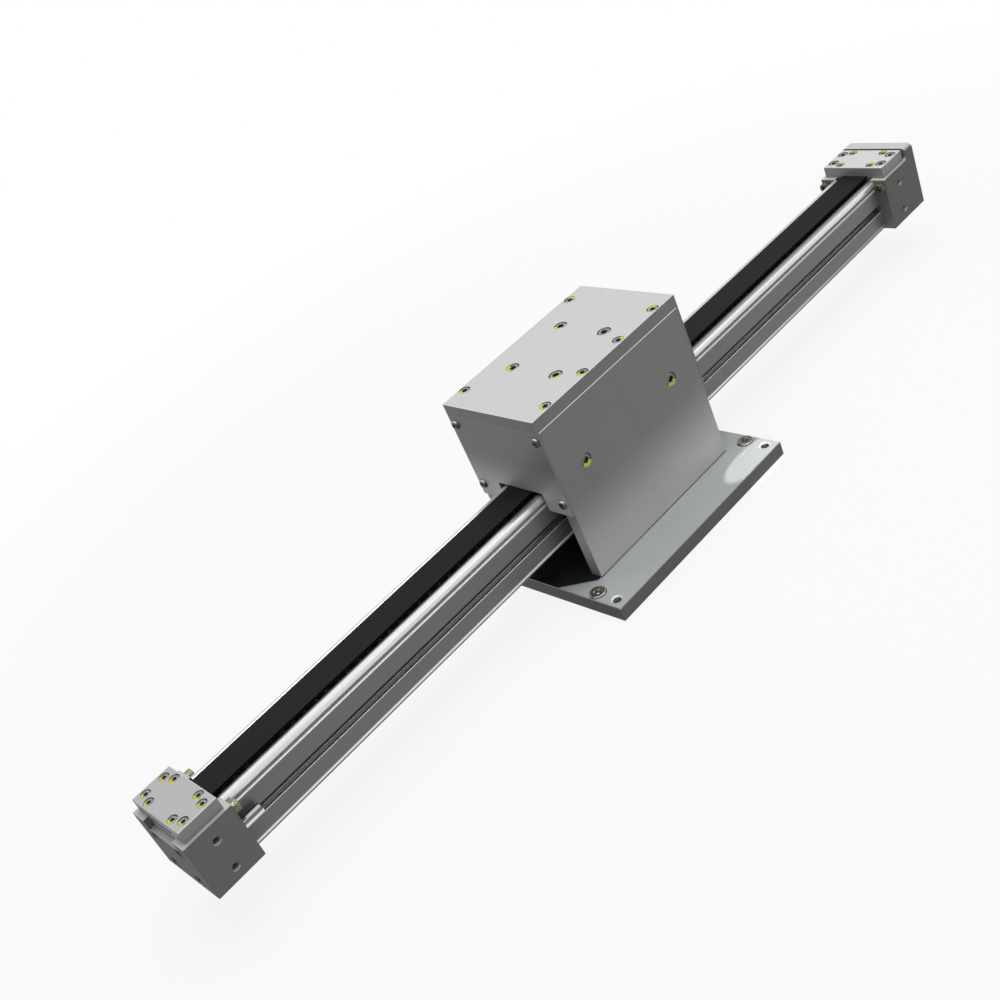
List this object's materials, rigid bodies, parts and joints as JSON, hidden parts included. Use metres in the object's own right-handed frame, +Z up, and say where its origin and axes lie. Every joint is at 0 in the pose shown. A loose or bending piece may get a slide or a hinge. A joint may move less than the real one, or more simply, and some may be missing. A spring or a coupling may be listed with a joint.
{
  "type": "belt drive linear actuator",
  "caption": "Belt-driven linear actuator: a boxed drive carriage on a base plate with a grooved beam, guide shafts, toothed belt and clamped end blocks running through it.",
  "frame": {"origin": "middle of the base plate's underside", "axes": "+X along the beam towards the walled end block, +Y towards the side plate with the drive input, +Z up through the top plate"},
  "size_m": [0.8398, 0.17, 0.155],
  "materials": {
    "top_aluminium": "satin natural anodised",
    "frame_aluminium": "satin natural anodised",
    "cover_aluminium": "matt anodised sheet",
    "base_aluminium": "ground plate, satin",
    "beam_aluminium": "extruded, anodised satin",
    "shaft_steel": "hardened, ground and polished",
    "screw_steel": "stainless",
    "bearing_steel": "ground",
    "pulley_aluminium": "machined",
    "belt_rubber": "matt black polyurethane"
  },
  "bodies": {
    "carriage": {"base_plate": "base_aluminium", "side_plate_right": "frame_aluminium", "side_plate_left": "frame_aluminium", "top_plate": "top_aluminium", "end_cover_near": "cover_aluminium", "end_cover_far": "cover_aluminium", "drive_bracket_right": "frame_aluminium", "drive_bracket_left": "frame_aluminium", "drive_bearings": "bearing_steel", "roller_carrier_right": "frame_aluminium", "roller_carrier_left": "frame_aluminium", "roller_studs": "shaft_steel", "roller_nuts": "screw_steel", "idler_axle_near": "shaft_steel", "idler_axle_far": "shaft_steel", "idler_sleeves": "shaft_steel", "belt_loop": "belt_rubber", "top_edge_screws": "screw_steel", "top_inner_screws": "screw_steel", "side_screws": "screw_steel", "cover_screws": "screw_steel", "base_screws": "screw_steel", "foot_screws": "screw_steel"},
    "beam": {"beam_profile": "beam_aluminium", "guide_shaft_right": "shaft_steel", "guide_shaft_left": "shaft_steel", "belt_run": "belt_rubber", "end_block_near": "frame_aluminium", "end_block_far": "frame_aluminium", "tooth_plate_near": "frame_aluminium", "tooth_plate_far": "frame_aluminium", "clamp_plate_near": "top_aluminium", "clamp_plate_far": "top_aluminium", "clamp_screws_near": "screw_steel", "clamp_screws_far": "screw_steel", "tension_screws": "screw_steel", "end_screws_near": "screw_steel", "end_screws_far": "screw_steel", "stop_pin": "shaft_steel"},
    "pulley": {"drive_shaft": "shaft_steel", "drive_pulley": "pulley_aluminium", "pulley_flanges": "pulley_aluminium"},
    "idler_near": {"idler_roller_near": "pulley_aluminium", "idler_bearings_near": "bearing_steel"},
    "idler_far": {"idler_roller_far": "pulley_aluminium", "idler_bearings_far": "bearing_steel"},
    "roller_near_right": {"guide_roller_near_right": "bearing_steel"},
    "roller_near_left": {"guide_roller_near_left": "bearing_steel"},
    "roller_far_right": {"guide_roller_far_right": "bearing_steel"},
    "roller_far_left": {"guide_roller_far_left": "bearing_steel"}
  },
  "joints": [
    {"name": "beam_slide", "type": "slide", "parent": "carriage", "child": "beam", "axis": [1, 0, 0], "range_m": [-0.28, 0.289]},
    {"name": "pulley_spin", "type": "hinge", "parent": "carriage", "child": "pulley", "pos_m": [0, 0, 0.11582], "axis": [0, 1, 0], "range_deg": [-630, 650.3]},
    {"name": "idler_near_spin", "type": "hinge", "parent": "carriage", "child": "idler_near", "pos_m": [-0.05, 0, 0.1003], "axis": [0, 1, 0], "range_deg": [-1135.7, 1100.4]},
    {"name": "idler_far_spin", "type": "hinge", "parent": "carriage", "child": "idler_far", "pos_m": [0.05, 0, 0.1003], "axis": [0, 1, 0], "range_deg": [-1135.7, 1100.4]},
    {"name": "roller_near_right_spin", "type": "hinge", "parent": "carriage", "child": "roller_near_right", "pos_m": [-0.064, -0.0277, 0.0807], "axis": [0, 0, 1], "range_deg": [-2547.5, 2468.2]},
    {"name": "roller_near_left_spin", "type": "hinge", "parent": "carriage", "child": "roller_near_left", "pos_m": [-0.064, 0.0277, 0.0807], "axis": [0, 0, 1], "range_deg": [-2468.2, 2547.5]},
    {"name": "roller_far_right_spin", "type": "hinge", "parent": "carriage", "child": "roller_far_right", "pos_m": [0.064, -0.0277, 0.0807], "axis": [0, 0, 1], "range_deg": [-2547.5, 2468.2]},
    {"name": "roller_far_left_spin", "type": "hinge", "parent": "carriage", "child": "roller_far_left", "pos_m": [0.064, 0.0277, 0.0807], "axis": [0, 0, 1], "range_deg": [-2468.2, 2547.5]}
  ],
  "couplings": [
    {"joint": "pulley_spin", "follows": "beam_slide", "rad_per_m": 39.27},
    {"joint": "idler_near_spin", "follows": "beam_slide", "rad_per_m": -68.587},
    {"joint": "idler_far_spin", "follows": "beam_slide", "rad_per_m": -68.587},
    {"joint": "roller_near_right_spin", "follows": "beam_slide", "rad_per_m": -153.85},
    {"joint": "roller_near_left_spin", "follows": "beam_slide", "rad_per_m": 153.85},
    {"joint": "roller_far_right_spin", "follows": "beam_slide", "rad_per_m": -153.85},
    {"joint": "roller_far_left_spin", "follows": "beam_slide", "rad_per_m": 153.85}
  ]
}
